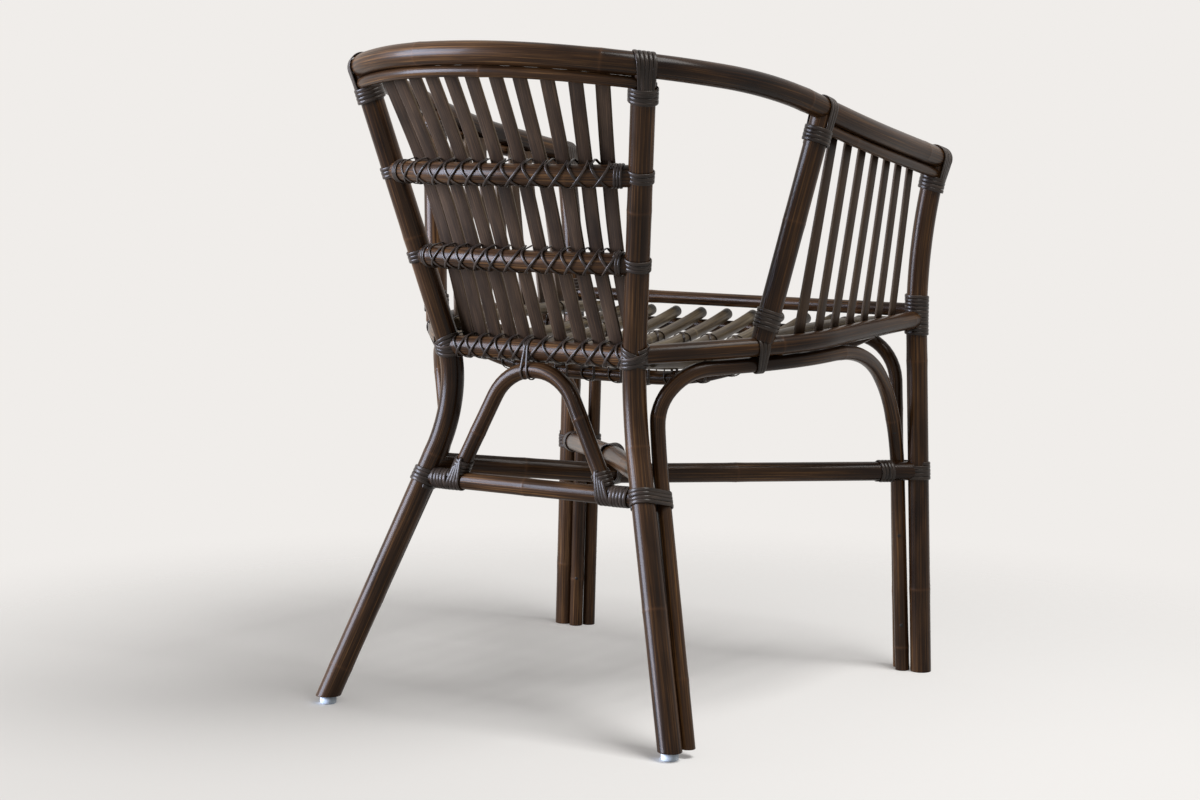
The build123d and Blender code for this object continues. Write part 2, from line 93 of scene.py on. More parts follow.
class Route:
    def __init__(self, spots):
        self.spots = [spots[0]]
        self.reach = [0]
        for spot in spots[1:]:
            step = (spot - self.spots[-1]).length
            if step > bending["apart"]:
                self.spots.append(spot)
                self.reach.append(self.reach[-1] + step)
        self.length = self.reach[-1]

    def at(self, distance):
        low = max(0, min(bisect_right(self.reach, distance) - 1, len(self.reach) - 2))
        share = (distance - self.reach[low]) / (self.reach[low + 1] - self.reach[low])
        return self.spots[low].lerp(self.spots[low + 1], share)

    def run(self, distance):
        ahead = self.at(min(distance + bending["lookAhead"], self.length))
        behind = self.at(max(distance - bending["lookAhead"], 0))
        return (ahead - behind).normalized()

    def where(self, axis, value, start=0, end=1):
        # how far along a coordinate reaches a value, between two shares of the length
        start, end = start * self.length, end * self.length
        rising = getattr(self.at(end), axis) > getattr(self.at(start), axis)
        for _ in range(bending["halvings"]):
            middle = (start + end) / 2
            if (getattr(self.at(middle), axis) < value) == rising:
                start = middle
            else:
                end = middle
        return (start + end) / 2

    def onto(self, axis, value, start=0, end=1):
        return self.at(self.where(axis, value, start, end))

    def part(self, start, end):
        inner = [spot for spot, reach in zip(self.spots, self.reach) if start < reach < end]
        return Route([self.at(start)] + inner + [self.at(end)])


def bent(*corners, bendRadius=None):
    return Route(roundCorners([Vector(corner) for corner in corners], bendRadius))


def straight(start, end):
    return Route([Vector(start), Vector(end)])


def flip(corners):
    return [Vector((-corner[0], corner[1], corner[2])) for corner in corners]


def flipRoute(route):
    return Route(flip(route.spots))


def bothSides(left, **more):
    # a route across the chair, from the corners of its left half
    return bent(*flip(left[::-1]), *left, **more)


def beyond(start, end, extra):
    start, end = Vector(start), Vector(end)
    return end + (end - start).normalized() * extra


def squareTo(axis, hint):
    hint = Vector(hint)
    return (hint - axis * hint.dot(axis)).normalized()


def arcThrough(start, middle, end):
    toMiddle, toEnd = middle - start, end - start
    axis = toMiddle.cross(toEnd)
    offset = (axis.cross(toMiddle) * toEnd.length_squared
              + toEnd.cross(axis) * toMiddle.length_squared)
    centre = start + offset / (2 * axis.length_squared)
    turn = (start - centre).angle(middle - centre) + (middle - centre).angle(end - centre)
    steps = bending["arcSteps"]
    turns = [Matrix.Rotation(turn * i / steps, 3, axis) for i in range(steps + 1)]
    return Route([centre + turned @ (start - centre) for turned in turns])


radius = {
    "topRail": 14, "underRail": 7, "rearLeg": 14.5, "frontLeg": 13.75, "armPost": 14, "brace": 12.6,
    "crossRail": 13, "seatRail": 13, "sideRail": 11.5, "frontRail": 9, "support": 9, "seatPole": 8,
    "sideArch": 9.5, "frontArch": 9, "rearArch": 10, "stretcher": 11,
}
level = {"seatRail": 436.5, "frontRail": 467.5, "stretcher": 276, "braceEnd": 261}
poleSlim = 0.4  # a pole is this much thinner between its growth rings
clearance = 0.3  # between poles that lie on each other
cope = 5  # a post stops this far short of the centre line of the rail that it carries
footSpare = 15  # left below a foot for its level cut

topRailPlan = {
    "corners": ((283, -302, 658), (291, -60, 699), (269, 120, 748), (214, 279, 766),
                (75, 352, 780)),
    "rearLegX": 195, "armPostY": 20, "frontLegY": -286,
}
hoopHalf = [Vector(corner) for corner in topRailPlan["corners"]]
hoop = bent(*flip(hoopHalf), *hoopHalf[::-1])
rearLegOnHoop = hoop.where("x", topRailPlan["rearLegX"], 0.5, 0.7)
armPostOnHoop = hoop.where("y", topRailPlan["armPostY"], 0.5, 1)
frontLegOnHoop = hoop.where("y", topRailPlan["frontLegY"], 0.5, 1)


def hungUnder(rail, start, end):
    # the line of a thin pole that touches the rail from below
    run = rail.part(start, end)
    drop = radius["topRail"] + radius["underRail"] - 2 * poleSlim
    below = [squareTo(run.run(reach), upwards) * drop for reach in run.reach]
    return Route([spot - down for spot, down in zip(run.spots, below)])


backUnder = hungUnder(hoop, hoop.length - rearLegOnHoop, rearLegOnHoop)
armUnder = hungUnder(hoop, armPostOnHoop, frontLegOnHoop)

rearFoot, knee, waist = [Vector(spot) for spot in (
    (245.5, 291, 0), (134, 189.5, 340.5), (127, 185.5, 414),
)]
rearLeg = bent(
    beyond(knee, rearFoot, footSpare), knee, waist, beyond(waist, hoop.at(rearLegOnHoop), -cope)
)

frontFoot, frontBend = Vector((276, -284, 0)), Vector((259, -278, 548))
frontLeg = bent(
    beyond(frontBend, frontFoot, footSpare), frontBend,
    beyond(frontBend, hoop.at(frontLegOnHoop), -cope),
)

sideRailPlan = {
    "rearZ": 438, "bends": ((190, 138, 443), (268, 30, 448), (267, -120, 453)), "frontZ": 456,
    "postY": 77.5,
}
sideRail = bent(
    rearLeg.onto("z", sideRailPlan["rearZ"]), *sideRailPlan["bends"],
    frontLeg.onto("z", sideRailPlan["frontZ"]),
)
postOnRail = sideRail.where("y", sideRailPlan["postY"])
armPost = straight(
    beyond(hoop.at(armPostOnHoop), sideRail.at(postOnRail), -cope),
    beyond(sideRail.at(postOnRail), hoop.at(armPostOnHoop), -cope),
)

crossRailPlan = {"lower": (545, 27), "upper": (645, 48), "shoulder": 0.4}  # height and bow of each
supportPlan = {"rear": (48, 397), "front": (-168, 401), "shoulder": 0.65}  # Y and dished height


def crossRoute(z, bow):
    end = rearLeg.onto("z", z)
    return bothSides([Vector((end.x * crossRailPlan["shoulder"], end.y + bow, end.z)), end])


def supportRoute(y, z):
    end = sideRail.onto("y", y)
    return bothSides([Vector((end.x * supportPlan["shoulder"], y, z)), end])


def levelRoute(leg, z):
    left = leg.onto("z", z)
    return straight(flip([left])[0], left)


lowerRail, upperRail = crossRoute(*crossRailPlan["lower"]), crossRoute(*crossRailPlan["upper"])
rearSupport, frontSupport = supportRoute(*supportPlan["rear"]), supportRoute(*supportPlan["front"])
seatRail = levelRoute(rearLeg, level["seatRail"])
frontRail = levelRoute(frontLeg, level["frontRail"])
stretcher = levelRoute(rearLeg, level["stretcher"])

sideArchPlan = {
    "knee": (151, 167, 317), "shoulder": (152, 175, 382), "underRailY": (147, 30, -131),
    "fall": (240, -270.5, 337), "fromRearFoot": (9, -23, 0), "fromFrontFoot": (-22.8, 7, 0),
}
archDrop = Vector((0, 0, radius["sideRail"] + radius["sideArch"] + clearance))
sideArch = bent(
    beyond(sideArchPlan["knee"], rearFoot + Vector(sideArchPlan["fromRearFoot"]), footSpare),
    sideArchPlan["knee"], sideArchPlan["shoulder"],
    *[sideRail.onto("y", y) - archDrop for y in sideArchPlan["underRailY"]], sideArchPlan["fall"],
    beyond(sideArchPlan["fall"], frontFoot + Vector(sideArchPlan["fromFrontFoot"]), footSpare),
)

frontArchPlan = {"fromLeg": (-34.2, -8.2, 0), "drop": 1.2, "bendRadius": 60}
poleFrontZ = level["frontRail"] - radius["frontRail"] - radius["seatPole"] - 3 * clearance
frontArchZ = (poleFrontZ - radius["seatPole"] - radius["frontArch"] - clearance
              - frontArchPlan["drop"])
frontArchTop = frontLeg.onto("z", frontArchZ) + Vector(frontArchPlan["fromLeg"])
frontArchFoot = frontFoot + Vector(frontArchPlan["fromLeg"])
frontArch = bothSides(
    [frontArchTop, beyond(frontArchTop, frontArchFoot, footSpare)],
    bendRadius=frontArchPlan["bendRadius"],
)

rearArchPlan = {"top": (39, 200.5, 414), "knee": (75, 205, 343), "footX": 109}
rearArchFoot = (rearArchPlan["footX"], stretcher.at(0).y, level["stretcher"])
rearArch = bothSides([rearArchPlan["top"], rearArchPlan["knee"], rearArchFoot])

bracePlan = {"crossing": (0, 30, 283.5), "lift": 11.65, "bendRadius": 600,
             "lower": (294, level["braceEnd"]), "upper": (303, 260)}
braceCrossing = Vector(bracePlan["crossing"])


def braceRoute(rearZ, frontZ, lift):
    middle = braceCrossing + upwards * lift
    front = flip([frontLeg.onto("z", frontZ)])
    return bent(rearLeg.onto("z", rearZ), middle, *front, bendRadius=bracePlan["bendRadius"])


lowerBrace = braceRoute(*bracePlan["lower"], -bracePlan["lift"])
upperBrace = flipRoute(braceRoute(*bracePlan["upper"], bracePlan["lift"]))

slatThickness = 4
seatPolePlan = {"count": 12, "fromLeg": 22.5, "rearZ": 431, "fromSlats": 1, "fromPost": 8,
                "onRail": 0.8}
outerPoleX = (frontRail.at(frontRail.length).x - radius["frontLeg"] - seatPolePlan["fromLeg"]
              - radius["seatPole"])
seatPolePitch = 2 * outerPoleX / (seatPolePlan["count"] - 1)


def seatPoleRoute(x):
    # from the front rail down over the rear support, then up to the slats, side rail or arm post
    end = rearSupport.at(rearSupport.length)
    place = rearSupport.where("x", x) if abs(x) < end.x else rearSupport.length
    rest, slope = rearSupport.at(place), rearSupport.run(place)
    lift = (radius["support"] + radius["seatPole"] + clearance) / math.hypot(slope.x, slope.y)
    slatFace = (seatRail.at(0).y - radius["seatRail"] - slatThickness - clearance
                - seatPolePlan["fromSlats"])
    front = Vector((x, frontRail.at(0).y - radius["frontRail"], poleFrontZ))
    rear = Vector((x, slatFace, seatPolePlan["rearZ"]))
    besideLeg = abs(x) > waist.x
    if besideLeg:
        side = sideRail.onto("x", abs(x), 0, 0.4)
        if side.y < slatFace:
            rear = Vector((x, side.y, side.z))
    route = arcThrough(front, rest + Vector((0, 0, lift)), rear)
    endY = rear.y
    if besideLeg:
        endY = rear.y - radius["sideRail"] * seatPolePlan["onRail"]
    if abs(x) > outerPoleX - 1:
        endY = sideRail.at(postOnRail).y - radius["armPost"] - seatPolePlan["fromPost"]
    return route.part(0, route.where("y", endY) if endY < rear.y else route.length)


middlePole = (seatPolePlan["count"] - 1) / 2
seatPoles = [seatPoleRoute((i - middlePole) * seatPolePitch) for i in range(seatPolePlan["count"])]
print("routes drawn")

# Every pole, slat and strand is a strip of grid rolled round its route. Three values go with each
# point: grain, its place as if the rod were straight, mark, how near it is to a growth ring, and
# across, its place over the width, from -1 to 1.
weld = 0.000002  # points nearer than this, in metres, are one


def newPiece():
    bm = bmesh.new()
    bm.verts.layers.float_vector.new("grain")
    bm.verts.layers.float.new("mark")
    bm.verts.layers.float.new("across")
    return bm


def roll(bm, section, places, grainStart):
    grain, mark = bm.verts.layers.float_vector["grain"], bm.verts.layers.float["mark"]
    across = bm.verts.layers.float["across"]
    halfWidth = max(x for x, y in section)
    stations, sides = len(places) - 1, len(section)
    strip = bmesh.ops.create_grid(bm, x_segments=stations, y_segments=sides, size=1)["verts"]
    for vert in strip:
        station = round((vert.co.x + 1) / 2 * stations)
        centre, toSide, outward, distance, scale, ring = places[station]
        x, y = section[round((vert.co.y + 1) / 2 * sides) % sides]
        vert.co = toMetres(centre + (toSide * x + outward * y) * scale)
        vert[grain] = Vector((x, y, distance + grainStart)) * mm
        vert[mark] = ring
        vert[across] = x / halfWidth


def rollAlong(bm, section, spots, faces, grainStart, closed=False):
    # a section rolled along a line of spots, with the way it faces at each
    count = len(spots)
    places, distance = [], 0
    for i in range(count + closed):
        ahead = spots[(i + 1) % count] if closed else spots[min(i + 1, count - 1)]
        behind = spots[i - 1] if closed or i else spots[0]
        run = (ahead - behind).normalized()
        face = squareTo(run, faces[i % count])
        distance += (spots[i % count] - spots[i - 1]).length if i else 0
        places.append((spots[i % count], face.cross(run), face, distance, 1, 0))
    roll(bm, section, places, grainStart)


def finishPiece(bm, name, material, slotName, *nodes):
    bmesh.ops.remove_doubles(bm, verts=bm.verts, dist=weld)
    rims = [edge for edge in bm.edges if edge.is_boundary]
    caps = bmesh.ops.holes_fill(bm, edges=rims, sides=0)["faces"]
    bmesh.ops.recalc_face_normals(bm, faces=bm.faces)
    for face in bm.faces:
        face.smooth = True
    for face in caps:
        face.smooth = False
    piece = placeMesh(bm, name, material)
    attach(piece, "root")
    if nodes:
        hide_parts(*nodes)


def putIn(name, data):
    piece = bpy.data.objects.new(name, data)
    bpy.context.scene.collection.objects.link(piece)
    return piece


def placeMesh(bm, name, material):
    mesh = bpy.data.meshes.new(name)
    bm.to_mesh(mesh)
    bm.free()
    mesh.materials.append(material)
    return putIn(name, mesh)


def isVert(part):
    return isinstance(part, bmesh.types.BMVert)


def easeRim(bm, rim, width, steps, **more):
    bmesh.ops.bevel(bm, geom=rim, offset=width * mm, segments=steps, profile=0.5, affect="EDGES",
                    material=-1, **more)


def mirrorPiece(bm):
    # the right-hand copy of everything made so far
    everything = bm.verts[:] + bm.edges[:] + bm.faces[:]
    copied = bmesh.ops.duplicate(bm, geom=everything)["geom"]
    bmesh.ops.scale(bm, vec=(-1, 1, 1), verts=[part for part in copied if isVert(part)])


def joinTo(node, **links):
    # a link named _6 goes to socket 6, and a node stands for its first output
    for name, source in links.items():
        socket = source if isinstance(source, bpy.types.NodeSocket) else source.outputs[0]
        key = int(name[1:]) if name[0] == "_" else name.replace("_", " ")
        node.id_data.links.new(socket, node.inputs[key])


def addNode(tree, kind, settings=None, **links):
    # a setting names a socket, its number or a property
    node = tree.nodes.new("ShaderNode" + kind)
    for name, value in (settings or {}).items():
        if name == "stops":
            elements = node.color_ramp.elements
            while len(elements) < len(value):
                elements.new(0.5)
            for element, (place, colour) in zip(elements, value):
                element.position = place
                element.color = hexColour(colour)
        elif isinstance(name, int) or name in node.inputs:
            node.inputs[name].default_value = value
        else:
            setattr(node, name, value)
    joinTo(node, **links)
    return node


def startMaterial(name):
    material = bpy.data.materials.new(name)
    material.use_nodes = True
    return material, material.node_tree, material.node_tree.nodes["Principled BSDF"]


def caneMaterial(name, look):
    material, tree, shader = startMaterial(name)
    grain, mark, across = [addNode(tree, "Attribute", {"attribute_name": attribute})
                           for attribute in ("grain", "mark", "across")]

    # fibres run along the pole: each is fibreWidth across and fibreLength long
    stretch = (1, 1, look["fibreWidth"] / look["fibreLength"])
    alongGrain = addNode(tree, "Mapping", {"Scale": stretch}, Vector=grain.outputs["Vector"])
    fibre = addNode(tree, "TexNoise", {
        "Scale": 1000 / look["fibreWidth"], "Detail": 5, "Roughness": 0.62,
    }, Vector=alongGrain)
    fine = addNode(tree, "TexNoise", {
        "Scale": 2600 / look["fibreWidth"], "Detail": 2,
    }, Vector=alongGrain)
    # patches of stronger and weaker stain, three times as long as they are wide
    patchStretch = addNode(tree, "Mapping", {"Scale": (1, 1, 0.3)}, Vector=grain.outputs["Vector"])
    patch = addNode(tree, "TexNoise", {
        "Scale": 1000 / look["patch"], "Detail": 3, "Roughness": 0.55,
    }, Vector=patchStretch)

    stain = addNode(tree, "ValToRGB", {
        "stops": list(zip((0.3, 0.52, 0.72), look["stain"])),
    }, Fac=fibre)
    cloud = addNode(tree, "ValToRGB", {
        "stops": [(0.3, look["cloudDark"]), (0.68, "ffffff")],
    }, Fac=patch)
    # sockets 6 and 7 of a Mix node are its two colours, and output 2 is the mixed one
    stained = addNode(tree, "Mix", {
        "data_type": "RGBA", "blend_type": "MULTIPLY", 0: 1,
    }, _6=stain, _7=cloud).outputs[2]
    # the stain wears thin on the ridge of each growth ring; along a slat's edges the paler colour
    # is thin stain and a painted highlight
    wearAndHighlight = {"data_type": "RGBA", 7: hexColour(look["wearAndHighlight"])}
    ringShade = addNode(tree, "Math", {"operation": "MULTIPLY", 1: look["ringWear"]},
                        _0=mark.outputs["Fac"])
    ringed = addNode(tree, "Mix", wearAndHighlight, _0=ringShade, _6=stained).outputs[2]
    fromMiddle = addNode(tree, "Math", {"operation": "ABSOLUTE"}, _0=across.outputs["Fac"])
    # the edge mask: thin stain, and on the slats a painted highlight along both edges
    edge = addNode(tree, "MapRange", {
        "From Min": 0.84, "From Max": 1, "To Min": 0, "To Max": look["edgeWearAndHighlight"],
    }, Value=fromMiddle)
    finished = addNode(tree, "Mix", wearAndHighlight, _0=edge, _6=ringed).outputs[2]

    gloss = addNode(tree, "MapRange", {
        "From Min": 0.3, "From Max": 0.7,
        "To Min": look["roughness"][0], "To Max": look["roughness"][1],
    }, Value=patch)
    relief = addNode(tree, "Math", {"operation": "MULTIPLY_ADD", 1: 0.45}, _0=fine, _2=fibre)
    bump = addNode(tree, "Bump", {"Strength": 1, "Distance": look["relief"] * mm}, Height=relief)
    joinTo(shader, Base_Color=finished, Roughness=gloss, Normal=bump)
    shader.inputs["IOR"].default_value = 1.5
    shader.inputs["Specular IOR Level"].default_value = look["specular"]
    shader.inputs["Coat Weight"].default_value = look["coat"]
    shader.inputs["Coat Roughness"].default_value = look["coatRoughness"]
    shader.inputs["Coat IOR"].default_value = 1.5
    return material


# Peeled rattan pole, stained espresso and lacquered: brown-orange grain under a clear satin coat
lacqueredRattan = caneMaterial("lacqueredRattan", {
    "fibreWidth": 1.7, "fibreLength": 120, "patch": 55, "relief": 0.08,
    "stain": ("24170e", "432d1b", "7d5a35"), "cloudDark": "655750",
    "wearAndHighlight": "5e4029", "ringWear": 0.25, "edgeWearAndHighlight": 0,
    "roughness": (0.26, 0.38), "specular": 0.1, "coat": 0.1, "coatRoughness": 0.16,
})
# The same pole under the sitter: greyer, its lacquer rubbed
wornRattan = caneMaterial("wornRattan", {
    "fibreWidth": 2, "fibreLength": 80, "patch": 40, "relief": 0.1,
    "stain": ("3c3228", "5f5443", "857960"), "cloudDark": "a09488",
    "wearAndHighlight": "8a7a60", "ringWear": 0.35, "edgeWearAndHighlight": 0,
    "roughness": (0.34, 0.48), "specular": 0.3, "coat": 0.05, "coatRoughness": 0.3,
})
# Split rattan slat, planed flat: matt, fine straight grain, its edges paler from thin stain and a
# painted highlight
splitRattan = caneMaterial("splitRattan", {
    "fibreWidth": 1, "fibreLength": 60, "patch": 30, "relief": 0.08,
    "stain": ("261b12", "3e2f22", "604a35"), "cloudDark": "877b71",
    "wearAndHighlight": "7d6d5c", "ringWear": 0, "edgeWearAndHighlight": 0.35,
    "roughness": (0.46, 0.62), "specular": 0.18, "coat": 0, "coatRoughness": 0.4,
})
# Flat cane strand, stained nearly black: satin skin with a faint lengthwise grain
caneStrand = caneMaterial("caneStrand", {
    "fibreWidth": 0.9, "fibreLength": 40, "patch": 16, "relief": 0.08,
    "stain": ("1c1714", "352c26", "5e5045"), "cloudDark": "938985",
    "wearAndHighlight": "6a5b4e", "ringWear": 0, "edgeWearAndHighlight": 0.2,
    "roughness": (0.26, 0.4), "specular": 0.2, "coat": 0.08, "coatRoughness": 0.2,
})
print("materials mixed")

pole = {
    "seatSeed": 30, "sides": 26, "spacing": 8, "grainShift": 737, "footEdge": 1.8,
    "footEdgeSteps": 3, "firstRing": (50, 190), "ringSpacing": (190, 320), "ringClear": 4,
    "ringSteps": (-3.5, -1.8, -0.9, 0, 0.9, 1.8, 3.5), "endSteps": (0.5, 1.3, 2.6),
    "swell": 0.26, "swellReach": 9, "ridge": 0.14, "ridgeReach": 1.1, "markReach": 1.6,
    "endRound": 1.9, "endReach": 2.6,
}
glide = {"radius": 10, "height": 10, "edge": 2.4, "edgeSteps": 5, "sides": 48}
frontCut, rearCut = (0, False), (glide["height"], True)  # a foot's height, and whether at the back


def circleSection(size, sides):
    turns = [math.tau * i / sides for i in range(sides)]
    return [(size * math.cos(turn), size * math.sin(turn)) for turn in turns]


def bell(distance, reach):
    return math.exp(-(distance / reach) ** 2)


def polePlaces(route, size, seed):
    # stations are closer together round each growth ring and at the two ends
    chance = random.Random(seed)
    rings = [chance.uniform(*pole["firstRing"])]
    while rings[-1] < route.length:
        rings.append(rings[-1] + chance.uniform(*pole["ringSpacing"]))
    count, clear = round(route.length / pole["spacing"]), pole["ringClear"]
    distances = [route.length * i / count for i in range(count + 1)]
    distances = [d for d in distances if all(abs(d - ring) > clear for ring in rings)]
    for ring in rings:
        near = [ring + step for step in pole["ringSteps"]]
        distances += [d for d in near if clear < d < route.length - clear]
    for step in pole["endSteps"]:
        distances += [step, route.length - step]
    distances.sort()
    places = []
    outward = route.run(0).orthogonal().normalized()
    for distance in distances:
        run = route.run(distance)
        outward = squareTo(run, outward)
        near = min(abs(distance - ring) for ring in rings)
        swell = (pole["swell"] * bell(near, pole["swellReach"])
                 + pole["ridge"] * bell(near, pole["ridgeReach"]))
        fromEnd = min(max(0, min(distance, route.length - distance)), pole["endReach"])
        inset = pole["endRound"] * (1 - math.sqrt(1 - (1 - fromEnd / pole["endReach"]) ** 2))
        scale = (size - poleSlim + swell - inset) / size
        places.append((route.at(distance), outward.cross(run), outward, distance, scale,
                       bell(near, pole["markReach"])))
    return places


def isRear(part):
    verts = [part] if isVert(part) else part.verts
    return sum(vert.co.y for vert in verts) / len(verts) > 0


def makePole(node, route, size, seed, material=lacqueredRattan, slotName="frame_rattan", cuts=()):
    bm = newPiece()
    section = circleSection(size, pole["sides"])
    roll(bm, section, polePlaces(route, size, seed), seed * pole["grainShift"])
    bmesh.ops.remove_doubles(bm, verts=bm.verts, dist=weld)
    for height, atRear in cuts:
        # a foot is sawn level with the floor and its edge eased
        end = [part for part in bm.verts[:] + bm.edges[:] + bm.faces[:] if isRear(part) == atRear]
        sawn = bmesh.ops.bisect_plane(bm, geom=end, plane_co=(0, 0, height * mm),
                                      plane_no=(0, 0, 1), clear_inner=True)
        rim = [part for part in sawn["geom_cut"] if isinstance(part, bmesh.types.BMEdge)]
        bmesh.ops.holes_fill(bm, edges=rim, sides=0)
        easeRim(bm, rim, pole["footEdge"], pole["footEdgeSteps"], clamp_overlap=True)
    finishPiece(bm, node + "_pole", material, slotName, node)


onePoles = [
    ("top_rail", hoop, "topRail"), ("back_under_rail", backUnder, "underRail"),
    ("upper_cross_rail", upperRail, "crossRail"), ("lower_cross_rail", lowerRail, "crossRail"),
    ("back_seat_rail", seatRail, "seatRail"), ("rear_stretcher", stretcher, "stretcher"),
    ("rear_arch", rearArch, "rearArch"), ("front_seat_rail", frontRail, "frontRail"),
    ("front_arch", frontArch, "frontArch", frontCut),
    ("front_seat_support", frontSupport, "support"), ("rear_seat_support", rearSupport, "support"),
    ("brace_lower", lowerBrace, "brace"), ("brace_upper", upperBrace, "brace"),
]
poleSeed = 0
for node, route, size, *cuts in onePoles:
    poleSeed += 1
    makePole(node, route, radius[size], poleSeed, cuts=cuts)
polePairs = [
    ("rear_leg", rearLeg, "rearLeg", rearCut), ("front_leg", frontLeg, "frontLeg", frontCut),
    ("arm_post", armPost, "armPost"), ("arm_under_rail", armUnder, "underRail"),
    ("side_seat_rail", sideRail, "sideRail"),
    ("side_arch", sideArch, "sideArch", frontCut, rearCut),
]
for node, route, size, *cuts in polePairs:
    for side, line in (("_left", route), ("_right", flipRoute(route))):
        poleSeed += 1
        makePole(node + side, line, radius[size], poleSeed, cuts=cuts)
for i, route in enumerate(seatPoles):
    makePole(f"seat_pole_{i + 1}", route, radius["seatPole"], pole["seatSeed"] + i,
             material=wornRattan, slotName="seat_rattan")
print("poles made")

slat = {"thickness": slatThickness - 0.1, "edge": 1.1, "steps": 9, "grainShift": 419}


def slatSection(width):
    halfWidth, halfThickness, edge = width / 2, slat["thickness"] / 2, slat["edge"]
    corners = []
    for x, y, quarter in [(1, 1, 0), (-1, 1, 1), (-1, -1, 2), (1, -1, 3)]:
        for step in (0, 1, 2):
            angle = math.radians(90 * quarter + 45 * step)
            corners.append((x * (halfWidth - edge) + edge * math.cos(angle),
                            y * (halfThickness - edge) + edge * math.sin(angle)))
    return corners


def slatRests(levels, look, front):
    # where the slat lies on each rail and faces there: follow is how far it turns with the rail
    rests = []
    spots = [route.at(place) for route, place, size in levels]
    last = len(spots) - 1
    for i, (route, place, size) in enumerate(levels):
        run = (spots[min(i + 1, last)] - spots[max(i - 1, 0)]).normalized()
        along = route.run(place)
        across = front.cross(upwards)
        across = across if across.dot(along) > 0 else -across
        across = across.lerp(along, look["follow"]).normalized()
        face = run.cross(across).normalized()
        face = face if face.dot(front) > 0 else -face
        corner = look["width"] / 2 * across.cross(along).length
        spot = spots[i] + face * (size + slatThickness / 2 + clearance + corner)
        spot += run * (look["rise"] if i == last else -look["drop"] if i == 0 else 0)
        rests.append((spot, face))
    return rests


def addSlat(bm, rests, width, seed):
    # a smooth line through the rests
    spots = [rest[0] for rest in rests]
    spots = [spots[0] * 2 - spots[1]] + spots + [spots[-1] * 2 - spots[-2]]
    line, faces = [], []
    for i in range(1, len(spots) - 2):
        for step in range(slat["steps"] + (i == len(spots) - 3)):
            t = step / slat["steps"]
            a, b, c, d = spots[i - 1:i + 3]
            line.append((b * 2 + (c - a) * t + (a * 2 - b * 5 + c * 4 - d) * t ** 2
                         + (b * 3 - a - c * 3 + d) * t ** 3) / 2)
            faces.append(rests[i - 1][1].lerp(rests[i][1], t) if t < 1 else rests[i][1])
    rollAlong(bm, slatSection(width), line, faces, seed * slat["grainShift"])


# Nailed by eye, so the spacing wanders: the middle of each slat across the chair, on each rail.
# The slats beyond legX are set forward to clear the leg.
backSlat = {
    "width": 18, "rise": 3, "drop": 7, "follow": 0.15, "legX": 118, "clearOfLeg": 3, "seed": 60,
    "seat": (109.5, 91, 70, 48, 28, 5, -23, -51, -77, -100.5, -120.5),
    "lower": (114, 91, 68, 44.5, 22.5, -0.5, -29.5, -54.5, -77.5, -99.5, -122),
    "upper": (127, 101, 73.5, 47.5, 21.5, -4.3, -33.5, -59, -85, -108.5, -131.5),
    "top": (138, 113, 83, 53.5, 23.5, -6.4, -37.4, -66, -97, -127, -154),
}
slatRails = {
    "seat": (seatRail, radius["seatRail"]), "lower": (lowerRail, radius["crossRail"]),
    "upper": (upperRail, radius["crossRail"]), "top": (backUnder, radius["underRail"]),
}
slatCrossings = {row: [] for row in slatRails}
slatCount = len(backSlat["seat"])
for i in range(slatCount):
    levels = [(route, route.where("x", backSlat[row][i]), size)
              for row, (route, size) in slatRails.items()]
    rests = slatRests(levels, backSlat, -rearwards)
    if abs(backSlat["seat"][i]) > backSlat["legX"]:
        rests[0] = (rests[0][0] - rearwards * backSlat["clearOfLeg"], rests[0][1])
    for j, row in enumerate(slatRails):
        route, place, size = levels[j]
        before, after = max(i - 1, 0), min(i + 1, slatCount - 1)
        pitch = (backSlat[row][before] - backSlat[row][after]) / (after - before)
        run = (rests[min(j + 1, len(rests) - 1)][0] - rests[max(j - 1, 0)][0]).normalized()
        standOff = clearance  # at the seat rail the drop would count as well
        if j:
            standOff = (rests[j][0] - route.at(place)).length - size - slatThickness / 2
        slatCrossings[row].append((place, run, pitch, standOff))
    bm = newPiece()
    addSlat(bm, rests, backSlat["width"], backSlat["seed"] + i)
    node = f"back_slat_{slatCount - i}"
    finishPiece(bm, node + "_strip", splitRattan, "slat_rattan", node)

armSlat = {
    "count": 7, "width": 16, "rise": 4, "drop": 5, "follow": 1,
    "topY": -15, "topPitch": 34.3, "footY": 17.5, "footPitch": 41.3,
}
for side, sign, seed in (("left", 1, 90), ("right", -1, 70)):
    bm = newPiece()
    foot, top = sideRail, armUnder
    if side == "right":
        foot, top = flipRoute(foot), flipRoute(top)
    for i in range(armSlat["count"]):
        footPlace = foot.where("y", armSlat["footY"] - i * armSlat["footPitch"])
        topPlace = top.where("y", armSlat["topY"] - i * armSlat["topPitch"])
        levels = [(foot, footPlace, radius["sideRail"]), (top, topPlace, radius["underRail"])]
        addSlat(bm, slatRests(levels, armSlat, -sideways * sign), armSlat["width"], seed + i)
    finishPiece(bm, f"arm_slats_{side}_strips", splitRattan, "slat_rattan", f"arm_slats_{side}")
print("slats made")

# Lashings are flat strand, wound round the outline of what it holds
wrapStrand = {"width": 4.6, "thickness": 1.7, "pitch": 4.6, "sides": 10, "around": 32}
laceStrand = {"width": 3.2, "thickness": 1.3, "pitch": 3.5, "sides": 8, "around": 36}
strandEdge = {"across": 0.7, "through": 0.8}  # 1 is an oval, and less is squarer
strandGap = 0.1
strandShift = 173  # how far each strand's grain is moved on from the one before
strandCount = 0
# The hand's unevenness: how far turns wander along and outward, and how deep the ends are tucked in
wander = {"along": 0.16, "alongStep": 0.31, "out": 0.12, "outStep": 0.173, "tuck": 1.6,
          "tuckSteps": 3}


def strandSection(look):
    spots = []
    for i in range(look["sides"]):
        turn = math.tau * (i + 0.5) / look["sides"]
        c, s = math.cos(turn), math.sin(turn)
        spots.append((look["width"] / 2 * math.copysign(abs(c) ** strandEdge["across"], c),
                      look["thickness"] / 2 * math.copysign(abs(s) ** strandEdge["through"], s)))
    return spots


